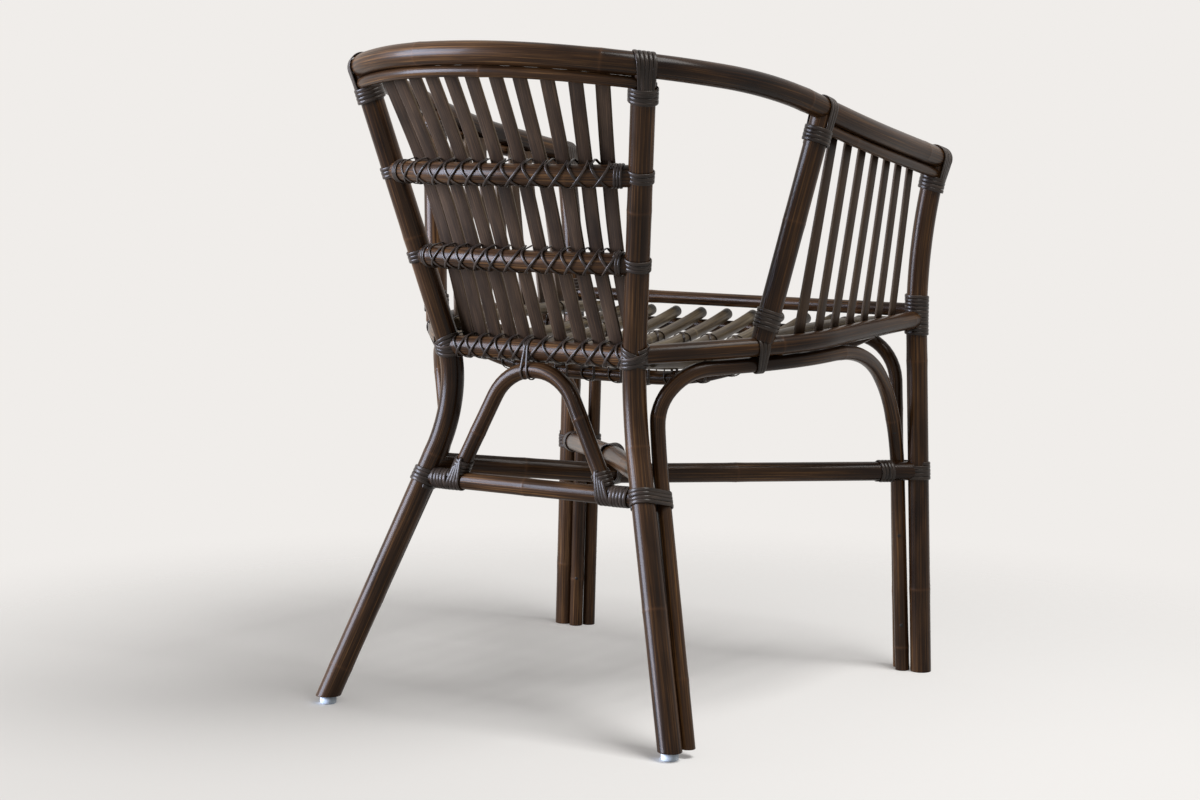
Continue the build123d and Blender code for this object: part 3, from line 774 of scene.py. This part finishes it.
def hull(forms, count):
    # spots and outward directions round a set of ovals, each x, y, half width and half height
    around = []
    for i in range(count):
        turn = math.tau * i / count
        c, s = math.cos(turn), math.sin(turn)
        reached = []
        for x, y, halfWidth, halfHeight in forms:
            size = math.hypot(halfWidth * c, halfHeight * s)
            spot = (x + halfWidth ** 2 * c / size, y + halfHeight ** 2 * s / size)
            reached.append((spot[0] * c + spot[1] * s, spot))
        around.append((max(reached)[1], (c, s)))
    return around


def outlineOf(forms, look):
    # the line of a strand's middle round its forms
    extra = look["thickness"] / 2 + strandGap
    grown = [(x, y, halfWidth + extra, halfHeight + extra) for x, y, halfWidth, halfHeight in forms]
    return hull(grown, look["around"])


def addStrand(bm, spots, faces, look, closed=False):
    global strandCount
    strandCount += 1
    rollAlong(bm, strandSection(look), spots, faces, strandCount * strandShift, closed)


def coil(bm, centre, axis, side, forms, turns, look=wrapStrand, lean=(0, 0), start=0):
    # turns side by side along the axis; lean tips them, and both ends are tucked in
    other = axis.cross(side)
    around = look["around"]
    outline = outlineOf(forms, look)
    steps = round(turns * around)
    spots, faces = [], []
    for k in range(steps + 1):
        (x, y), (c, s) = outline[(k + start) % around]
        height = (k / around - turns / 2) * look["pitch"] + lean[0] * x + lean[1] * y
        height += wander["along"] * math.sin(k * wander["alongStep"] + start)
        tucked = 1 - min(k, steps - k, wander["tuckSteps"]) / wander["tuckSteps"]
        lift = wander["out"] * math.sin(k * wander["outStep"] + start * 2) - tucked * wander["tuck"]
        spots.append(centre + side * (x + c * lift) + other * (y + s * lift) + axis * height)
        faces.append(side * c + other * s)
    addStrand(bm, spots, faces, look)


def ring(bm, centre, side, tall, forms, look=wrapStrand, slope=Vector()):
    # one closed turn; slope moves it along the pole as it rises
    spots, faces = [], []
    for (x, y), (c, s) in outlineOf(forms, look):
        spots.append(centre + side * x + tall * y + slope * y)
        faces.append(side * c + tall * s)
    addStrand(bm, spots, faces, look, closed=True)


def collar(bm, route, place, size, turns, others=(), **more):
    # a coil round a pole and any others bundled with it
    centre, axis = route.at(place), route.run(place)
    side = squareTo(axis, (0.3, 1, 0))
    other = axis.cross(side)
    forms = [(0, 0, size, size)]
    for otherRoute, otherPlace, otherSize in others:
        offset = otherRoute.at(otherPlace) - centre
        forms.append((offset.dot(side), offset.dot(other), otherSize, otherSize))
    coil(bm, centre, axis, side, forms, turns, **more)


def finishLashing(bm, name, *nodes):
    finishPiece(bm, name, caneStrand, "cane_lashing", *nodes)


saddle = {"gather": 0.72, "halfHeight": 4, "leastHalfWidth": 4}


def overRail(bm, rail, place, railSize, postSpot, postSize, loops):
    # loops over a rail that come down the two sides of the post under it
    axis = rail.run(place)
    toPost = postSpot - rail.at(place)
    down = squareTo(axis, toPost)
    side, depth, slide = down.cross(axis), toPost.dot(down), toPost.dot(axis)
    for i in range(loops):
        offset = (i - (loops - 1) / 2) * wrapStrand["pitch"]
        lower = offset * saddle["gather"]
        halfWidth = math.sqrt(max(postSize ** 2 - lower ** 2, saddle["leastHalfWidth"] ** 2))
        forms = [(0, 0, railSize, railSize), (0, -depth, halfWidth, saddle["halfHeight"])]
        slope = axis * -((lower - offset + slide) / depth)
        ring(bm, rail.at(place) + axis * offset, side, -down, forms, slope=slope)


topLashing = {"loops": (5, 3, 5), "drop": 31, "fromEnd": 14, "turns": 4.2, "over": 1.2}


def topRailLashings():
    bm = newPiece()
    posts = [(rearLeg, rearLegOnHoop, radius["rearLeg"]),
             (armPost, armPostOnHoop, radius["armPost"]),
             (frontLeg, frontLegOnHoop, radius["frontLeg"])]
    for (post, onHoop, size), loops in zip(posts, topLashing["loops"]):
        onPost = post.where("z", hoop.at(onHoop).z - topLashing["drop"])
        railPlace = min(onHoop, hoop.length - topLashing["fromEnd"])
        overRail(bm, hoop, railPlace, radius["topRail"], post.at(onPost), size, loops)
        collar(bm, post, onPost, size + topLashing["over"], topLashing["turns"], start=loops * 3)
    mirrorPiece(bm)
    finishLashing(bm, "top_rail_bindings", "top_rail_lashings")


crossLashing = {"legTurns": 3.1, "turns": (2.3, 3.6), "fromLeg": (21, 24.5)}  # lower rail, upper


def crossRailLashings():
    bm = newPiece()
    rails = zip((lowerRail, upperRail), crossLashing["turns"], crossLashing["fromLeg"])
    for rail, turns, fromLeg in rails:
        onLeg = rearLeg.where("z", rail.at(rail.length).z)
        collar(bm, rearLeg, onLeg, radius["rearLeg"], crossLashing["legTurns"], start=7)
        onRail = rail.length - fromLeg
        collar(bm, rail, onRail, radius["crossRail"], turns, look=laceStrand, start=4)
    mirrorPiece(bm)
    finishLashing(bm, "cross_rail_bindings", "cross_rail_lashings")


seatLashing = {"turns": 3.3, "lean": (0.1, 0.34), "over": 1.3, "frontZ": 461.7, "frontTurns": 11.3}


def seatRailLashings():
    # two leaning coils cross on each rear leg, and one tall coil holds three rails to a front leg
    bm = newPiece()
    onLeg = rearLeg.where("z", level["seatRail"])
    size, turns, lean = radius["rearLeg"], seatLashing["turns"], seatLashing["lean"]
    collar(bm, rearLeg, onLeg, size, turns, lean=lean, start=3)
    lean = (-lean[0], -lean[1])
    collar(bm, rearLeg, onLeg, size + seatLashing["over"], turns, lean=lean, start=19)
    onLeg = frontLeg.where("z", seatLashing["frontZ"])
    collar(bm, frontLeg, onLeg, radius["frontLeg"], seatLashing["frontTurns"], start=9)
    mirrorPiece(bm)
    finishLashing(bm, "seat_rail_bindings", "seat_rail_lashings")


postLashing = {"fromFoot": 26, "turns": 5, "lean": 0.06}


def armPostLashings():
    # a coil round the foot of the post, and three loops that hold the arch up to the side rail
    bm = newPiece()
    collar(bm, armPost, postLashing["fromFoot"], radius["armPost"], postLashing["turns"], start=11)
    onArch = sideArch.where("y", sideRailPlan["postY"], 0.3, 0.6)
    axis = sideRail.run(postOnRail)
    toArch = sideArch.at(onArch) - sideRail.at(postOnRail)
    down = squareTo(axis, toArch)
    forms = [(0, 0, radius["sideRail"], radius["sideRail"]),
             (0, -toArch.dot(down), radius["sideArch"], radius["sideArch"])]
    for i in (-1, 0, 1):
        centre = sideRail.at(postOnRail) + axis * i * wrapStrand["pitch"]
        ring(bm, centre, down.cross(axis), -down, forms, slope=axis * i * postLashing["lean"])
    mirrorPiece(bm)
    finishLashing(bm, "arm_post_bindings", "arm_post_lashings")


stretcherLashing = {
    "legTurns": 4.2, "turns": 5.4, "fromLeg": 29, "footTurns": 4, "footGap": 9,
    "fan": 4, "fanFrom": 43, "fanStep": 4.4, "fanRise": 14, "fanRiseStep": 3, "fanSize": (9, 8),
    "fanSlope": -0.42, "fanSlopeStep": 0.1,
}


def stretcherLashings():
    look = stretcherLashing
    bm = newPiece()
    onLeg = rearLeg.where("z", level["stretcher"])
    arch = (sideArch, sideArch.where("z", level["stretcher"], 0, 0.3), radius["sideArch"])
    collar(bm, rearLeg, onLeg, radius["rearLeg"], look["legTurns"], others=[arch], start=5)
    size = radius["stretcher"]
    collar(bm, stretcher, stretcher.length - look["fromLeg"], size, look["turns"], start=2)
    foot = rearArch.length - size - look["footGap"]
    collar(bm, rearArch, foot, radius["rearArch"], look["footTurns"], start=8)
    # loops fan out from the stretcher up round the foot of the arch
    for i in range(look["fan"]):
        centre = stretcher.at(stretcher.length - look["fanFrom"] - i * look["fanStep"])
        rise = look["fanRise"] + i * look["fanRiseStep"]
        forms = [(0, 0, size, size), (0, rise, *look["fanSize"])]
        slope = sideways * (look["fanSlope"] + i * look["fanSlopeStep"])
        ring(bm, centre, rearwards, upwards, forms, slope=slope)
    mirrorPiece(bm)
    finishLashing(bm, "stretcher_bindings", "stretcher_lashings")


braceLashing = {"legTurns": 4.5, "turns": 4.2, "fromLeg": 47, "crossSize": (13.4, 12.8),
                "crossStep": 4.4, "crossSlope": 0.165}


def braceLashings():
    # a coil round the bundle at each front leg, one on each brace, and a cross where they meet
    bm = newPiece()
    others = [(arch, arch.where("z", level["braceEnd"], 0.7, 1), size)
              for arch, size in ((sideArch, radius["sideArch"]), (frontArch, radius["frontArch"]))]
    onLeg = frontLeg.where("z", level["braceEnd"])
    collar(bm, frontLeg, onLeg, radius["frontLeg"], braceLashing["legTurns"], others=others,
           start=13)
    mirrorPiece(bm)
    for route in (lowerBrace, upperBrace):
        place = route.length - braceLashing["fromLeg"]
        collar(bm, route, place, radius["brace"], braceLashing["turns"], start=6)
    lower, upper = [route.onto("y", braceCrossing.y) for route in (lowerBrace, upperBrace)]
    forms = [(0, lower.z - upper.z, *braceLashing["crossSize"]), (0, 0, *braceLashing["crossSize"])]
    for way in (-1, 1):
        for i in (-1, 0, 1):
            centre = upper + rearwards * (i * braceLashing["crossStep"])
            slope = rearwards * (way * braceLashing["crossSlope"])
            ring(bm, centre, sideways, upwards, forms, slope=slope)
    finishLashing(bm, "brace_bindings", "brace_lashings")


archLashing = {"x": 10, "loops": ((-2, 0.1), (2.4, -0.06))}  # shift and slope of each loop


def rearArchLashing():
    bm = newPiece()
    rail, arch = seatRail.onto("x", archLashing["x"]), rearArch.onto("x", archLashing["x"])
    forms = [(0, 0, radius["seatRail"], radius["seatRail"]),
             (arch.y - rail.y, arch.z - rail.z, radius["rearArch"], radius["rearArch"])]
    for shift, slope in archLashing["loops"]:
        ring(bm, rail + sideways * shift, rearwards, upwards, forms, laceStrand, sideways * slope)
    finishLashing(bm, "rear_arch_binding", "rear_arch_lashing")


slatLace = {"half": 9.3, "corner": 1, "apart": 0.25, "reach": 0.94}


def slatLacing(name, row):
    # at each slat two loops cross on the back of the rail and hold the slat to its front
    bm = newPiece()
    route, size = slatRails[row]
    for place, slatRun, pitch, standOff in slatCrossings[row]:
        axis = route.run(place)
        tall = squareTo(axis, slatRun)
        face = tall.cross(axis)
        face = face if face.y < 0 else -face
        edge = slatLace["corner"]
        front = size + standOff + slatThickness - edge
        forms = [(0, 0, size, size)] + [(front, half, edge, edge)
                                        for half in (slatLace["half"], -slatLace["half"])]
        lead = pitch / 2 / (size + 1)
        skew = slatRun.dot(axis) / slatRun.dot(tall)
        for way in (-1, 1):
            centre = route.at(place) + face * slatLace["apart"] * way
            slope = axis * (skew + way * lead * slatLace["reach"])
            ring(bm, centre, face, tall, forms, laceStrand, slope)
    finishLashing(bm, name)


seatLace = {"spread": 1.38, "fromEnd": 6}


def seatLacing(name, support):
    # crossed loops hold every seat pole down on its support
    bm = newPiece()
    for route in seatPoles:
        x = route.at(0).x
        if abs(x) > support.at(support.length).x - seatLace["fromEnd"]:
            continue
        place = support.where("x", x)
        onPole = route.where("y", support.at(place).y)
        low, high = support.at(place), route.at(onPole)
        tall = (high - low).normalized()
        forms = [(0, rise, size * seatLace["spread"], size) for rise, size in
                 ((0, radius["support"]), ((high - low).length, radius["seatPole"]))]
        for way in (-1, 1):
            side = squareTo(tall, support.run(place) + route.run(onPole) * way)
            ring(bm, low, side, tall, forms, laceStrand)
    finishLashing(bm, name)


topRailLashings()
crossRailLashings()
seatRailLashings()
armPostLashings()
stretcherLashings()
braceLashings()
rearArchLashing()
for row in ("upper", "lower", "seat"):
    slatLacing(row + "_rail_lacing", row)
seatLacing("rear_support_lacing", rearSupport)
seatLacing("front_support_lacing", frontSupport)
print("lashings wound:", strandCount, "strands")


def speckled(name, grain, stops):
    # a material without fibres: its colour is clouded or pitted evenly all over
    material, tree, shader = startMaterial(name)
    place = addNode(tree, "TexCoord").outputs["Object"]
    specks = addNode(tree, "TexNoise", grain, Vector=place)
    colour = addNode(tree, "ValToRGB", {"stops": stops}, Fac=specks)
    joinTo(shader, Base_Color=colour)
    return material, tree, shader, specks


# Moulded polyethylene: pale, waxy, slightly clouded
def waxyPolyethylene():
    material, tree, shader, cloud = speckled("waxyPolyethylene", {"Scale": 140, "Detail": 3},
                                             [(0.3, "aebccb"), (0.7, "d5dfea")])
    scuff = addNode(tree, "MapRange", {
        "From Min": 0.35, "From Max": 0.65, "To Min": 0.42, "To Max": 0.6,
    }, Value=cloud)
    joinTo(shader, Roughness=scuff)
    shader.inputs["IOR"].default_value = 1.5
    return material


def makeGlide(node, material):
    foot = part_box(node)
    centre = (foot[0] + foot[1]) / 2
    bm = newPiece()
    disc = bmesh.ops.create_circle(bm, cap_ends=True, radius=glide["radius"] * mm,
                                   segments=glide["sides"])["verts"]
    bmesh.ops.translate(bm, vec=(centre.x, centre.y, 0), verts=disc)
    lifted = bmesh.ops.extrude_face_region(bm, geom=bm.faces[:])["geom"]
    top = [part for part in lifted if isVert(part)]
    bmesh.ops.translate(bm, vec=(0, 0, glide["height"] * mm), verts=top)
    rim = [edge for edge in bm.edges if all(vert.co.z < mm for vert in edge.verts)]
    easeRim(bm, rim, glide["edge"], glide["edgeSteps"])
    finishPiece(bm, node + "_cap", material, "glide_plastic", node)


glideMaterial = waxyPolyethylene()
makeGlide("glide_left", glideMaterial)
makeGlide("glide_right", glideMaterial)
print("glides made")

nail = {"radius": 2.3, "stand": 0.8, "facing": (-0.45, 0.89, 0), "sides": 16, "rows": 8,
        "rightHeights": (312, 177, 60), "leftHeights": (68,)}


# Drawn steel wire nail, blackened by the stain: dull, slightly pitted head
def blackenedSteel():
    material, _, shader, _ = speckled("blackenedSteel", {"Scale": 900, "Detail": 2},
                                      [(0.35, "0d0b0a"), (0.7, "2a2522")])
    shader.inputs["Metallic"].default_value = 0.6
    shader.inputs["Roughness"].default_value = 0.5
    return material


def makeNails():
    # small domed heads that pin the arches to the front legs beside them
    bm = newPiece()
    facing = Vector(nail["facing"]).normalized()
    turn = facing.to_track_quat("Z", "Y").to_matrix().to_4x4()
    size = Matrix.Diagonal((nail["radius"], nail["radius"], nail["stand"], 1))
    heads = [(flipRoute(sideArch), height) for height in nail["rightHeights"]]
    heads += [(sideArch, height) for height in nail["leftHeights"]]
    for arch, height in heads:
        spot = arch.onto("z", height, 0.7, 1) + facing * (radius["sideArch"] - poleSlim)
        head = bmesh.ops.create_uvsphere(bm, u_segments=nail["sides"], v_segments=nail["rows"],
                                         radius=1)["verts"]
        put = Matrix.Translation(toMetres(spot)) @ Matrix.Scale(mm, 4) @ turn @ size
        bmesh.ops.transform(bm, matrix=put, verts=head)
    finishPiece(bm, "nail_heads", blackenedSteel(), "frame_rattan")


makeNails()
print("nails driven")

# The studio is in metres
camera = {"place": (-1.65483, 2.60892, 0.71563), "yaw": 147.3303, "pitch": -6.5106, "roll": 0.3951,
          "lens": 75.69, "sensor": 36, "near": 0.1, "far": 50}
window = {"place": (2.3, 2.1, 1.15), "aim": (0.1, 0, 0.45), "size": (1.9, 2), "power": 310,
          "colour": "e0e8ff"}
overhead = {"place": (-1.25, 0.05, 2.65), "aim": (0, 0, 0.2), "size": (1.3, 1.3), "power": 56,
            "colour": "fffdfa"}
room = {"colour": "f0edea", "ambient": 0.22, "ambientColour": "fdf9f6"}
paper = {"sheet": "e8e8e8", "glow": 0.22, "fadeFrom": 0.45, "fadeTo": 1.3, "radius": 1.365,
         "sides": 96}


def makeCamera():
    yaw, pitch, tilt = (math.radians(camera[key]) for key in ("yaw", "pitch", "roll"))
    reach = math.cos(pitch)
    ahead = Vector((math.sin(yaw) * reach, math.cos(yaw) * reach, math.sin(pitch)))
    flat = ahead.cross(upwards).normalized()
    upright = flat.cross(ahead)
    right = flat * math.cos(tilt) + upright * math.sin(tilt)
    top = upright * math.cos(tilt) - flat * math.sin(tilt)
    viewer = putIn("camera", bpy.data.cameras.new("camera"))
    turned = Matrix((right, top, -ahead)).transposed().to_4x4()
    viewer.matrix_world = Matrix.Translation(camera["place"]) @ turned
    viewer.data.lens = camera["lens"]
    viewer.data.sensor_width = camera["sensor"]
    viewer.data.clip_start = camera["near"]
    viewer.data.clip_end = camera["far"]
    bpy.context.scene.camera = viewer


def makeLamp(name, look):
    lamp = bpy.data.lights.new(name, "AREA")
    lamp.shape = "RECTANGLE"
    lamp.size, lamp.size_y = look["size"]
    lamp.energy = look["power"]
    lamp.color = hexColour(look["colour"])[:3]
    piece = putIn(name, lamp)
    place = Vector(look["place"])
    piece.location = place
    piece.rotation_euler = (Vector(look["aim"]) - place).to_track_quat("-Z", "Y").to_euler()
    return piece


def seenBy(tree):
    # 1 for the rays that show the backdrop, 0 for those that light the chair
    rays = addNode(tree, "LightPath").outputs
    mirrored = addNode(tree, "Math", {"operation": "MAXIMUM"},
                       _0=rays["Is Transmission Ray"], _1=rays["Is Glossy Ray"])
    return addNode(tree, "Math", {"operation": "MAXIMUM"}, _0=rays["Is Camera Ray"], _1=mirrored)


def makeWorld():
    world = bpy.data.worlds.new("studio")
    bpy.context.scene.world = world
    world.use_nodes = True
    tree = world.node_tree
    tree.nodes.clear()
    dim, bright = [
        addNode(tree, "Background", {"Color": hexColour(colour), "Strength": strength})
        for colour, strength in ((room["ambientColour"], room["ambient"]), (room["colour"], 1))
    ]
    shown = addNode(tree, "MixShader", {}, _0=seenBy(tree), _1=dim, _2=bright)
    addNode(tree, "OutputWorld", {}, Surface=shown)


def makeFloor():
    # pale paper that fades into the backdrop away from the chair
    material, tree, _ = startMaterial("palePaper")
    tree.nodes.clear()
    place = addNode(tree, "TexCoord").outputs["Object"]
    distance = addNode(tree, "VectorMath", {"operation": "LENGTH"}, _0=place).outputs["Value"]
    fade = addNode(tree, "MapRange", {
        "interpolation_type": "SMOOTHSTEP", "From Min": paper["fadeFrom"],
        "From Max": paper["fadeTo"], "To Min": 0, "To Max": 1,
    }, Value=distance)
    matt = addNode(tree, "BsdfDiffuse", {"Color": hexColour(paper["sheet"])})
    strength = addNode(tree, "Math", {"operation": "MULTIPLY", 1: paper["glow"]}, _0=seenBy(tree))
    glow = addNode(tree, "Emission", {"Color": hexColour(room["colour"])}, Strength=strength)
    lit = addNode(tree, "AddShader", {}, _0=matt, _1=glow)
    clear = addNode(tree, "BsdfTransparent")
    shown = addNode(tree, "MixShader", {}, _0=fade, _1=lit, _2=clear)
    addNode(tree, "OutputMaterial", {}, Surface=shown)
    bm = bmesh.new()
    bmesh.ops.create_circle(bm, cap_ends=True, radius=paper["radius"], segments=paper["sides"])
    piece = placeMesh(bm, "floor", material)
    return piece


def keepOff(lamp, piece):
    # the window lights the chair alone, so its feet cast no hard streaks
    spared = bpy.data.collections.new("spared")
    spared.objects.link(piece)
    lamp.light_linking.receiver_collection = spared
    spared.collection_objects[0].light_linking.link_state = "EXCLUDE"


makeCamera()
windowLamp = makeLamp("window", window)
makeLamp("top", overhead)
makeWorld()
keepOff(windowLamp, makeFloor())
bpy.context.scene.view_settings.view_transform = "Standard"
print("studio set")
